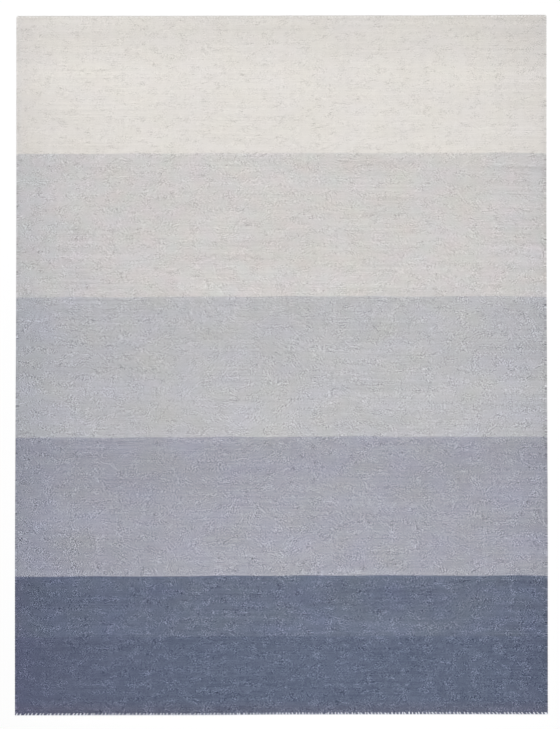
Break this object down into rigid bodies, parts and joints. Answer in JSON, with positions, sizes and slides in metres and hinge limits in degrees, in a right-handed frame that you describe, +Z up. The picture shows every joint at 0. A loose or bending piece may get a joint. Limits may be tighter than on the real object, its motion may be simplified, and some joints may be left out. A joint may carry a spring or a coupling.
{
  "type": "kilim rug",
  "caption": "Flat-woven wool kilim laid flat, in wide crosswise bands graded from cream to slate, with both short ends overcast in white cotton yarn.",
  "frame": {"origin": "on the floor under the middle of the rug's bounding box", "axes": "+X across the rug, along the weft; +Y along the rug, towards the cream end; +Z up, out of the face"},
  "size_m": [1.835, 2.415, 0.0045],
  "materials": {
    "banded_wool": "matt handspun wool weft, heathered, in bands from cream through greys to slate blue",
    "cotton_yarn": "matt twisted cotton yarn, natural white"
  },
  "bodies": {
    "root": {"kilim_cloth": "banded_wool", "light_end_overcast": "cotton_yarn", "dark_end_overcast": "cotton_yarn"}
  },
  "joints": []
}
